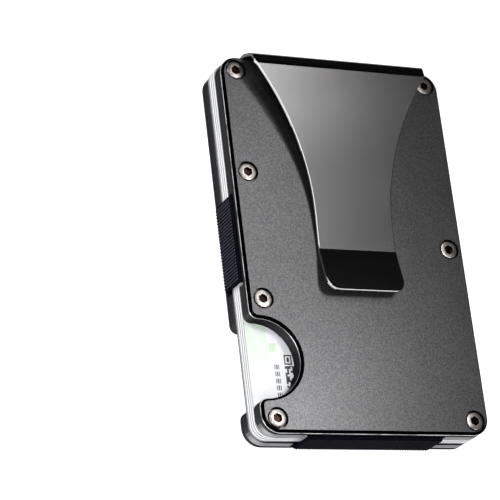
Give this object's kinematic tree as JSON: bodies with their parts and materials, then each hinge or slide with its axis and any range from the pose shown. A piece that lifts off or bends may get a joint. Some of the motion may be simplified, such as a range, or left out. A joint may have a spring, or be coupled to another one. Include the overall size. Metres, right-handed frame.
{
  "type": "card wallet",
  "caption": "Slim metal card wallet: two screwed plate pairs held over a stack of cards by elastic straps, with a thumb notch and a spring note clip.",
  "frame": {"origin": "centre of the back outer plate's flat outer face, on which the wallet lies", "axes": "+Z through the thickness towards the note clip, +Y along the length towards the open end and the clip's bend, +X across the width away from the thumb notch"},
  "size_m": [0.0556, 0.0877, 0.0167],
  "materials": {
    "outer_plate": "bead-blasted, anodised gunmetal",
    "inner_plate": "anodised, satin",
    "screw": "stainless, turned",
    "elastic": "woven elastic webbing",
    "clip": "finely brushed, dark plated spring steel",
    "card": "smooth white card"
  },
  "bodies": {
    "back_half": {"back_outer_plate": "outer_plate", "back_inner_plate": "inner_plate", "back_screw_1": "screw", "back_screw_2": "screw", "back_screw_3": "screw", "back_screw_4": "screw", "back_screw_5": "screw", "back_screw_6": "screw", "back_screw_7": "screw", "side_strap": "elastic", "end_strap": "elastic"},
    "front_half": {"front_outer_plate": "outer_plate", "front_inner_plate": "inner_plate", "front_screw_1": "screw", "front_screw_2": "screw", "front_screw_3": "screw", "front_screw_4": "screw", "front_screw_5": "screw", "front_screw_6": "screw", "front_screw_7": "screw", "clip_root": "clip"},
    "note_clip": {"clip_arm": "clip"},
    "card_1_body": {"card_1": "card"},
    "card_2_body": {"card_2": "card"},
    "card_3_body": {"card_3": "card"},
    "card_4_body": {"card_4": "card"}
  },
  "joints": [
    {"name": "plate_spread", "type": "slide", "parent": "back_half", "child": "front_half", "axis": [0, 0, 1], "range_m": [0, 0.006], "stiffness_N_per_m": 600, "springref_m": -0.008, "deforming": ["side_strap", "end_strap"]},
    {"name": "clip_flex", "type": "hinge", "parent": "front_half", "child": "note_clip", "pos_m": [0, 0.04306, 0.01267], "axis": [-1, 0, 0], "range_deg": [0, 6], "stiffness_Nm_per_rad": 2.5, "springref_deg": -1.72},
    {"name": "card_1_slide", "type": "slide", "parent": "back_half", "child": "card_1_body", "axis": [0, 1, 0], "range_m": [0, 0.055]},
    {"name": "card_2_slide", "type": "slide", "parent": "back_half", "child": "card_2_body", "axis": [0, 1, 0], "range_m": [0, 0.055]},
    {"name": "card_3_slide", "type": "slide", "parent": "back_half", "child": "card_3_body", "axis": [0, 1, 0], "range_m": [0, 0.055]},
    {"name": "card_4_slide", "type": "slide", "parent": "back_half", "child": "card_4_body", "axis": [0, 1, 0], "range_m": [0, 0.055]}
  ]
}
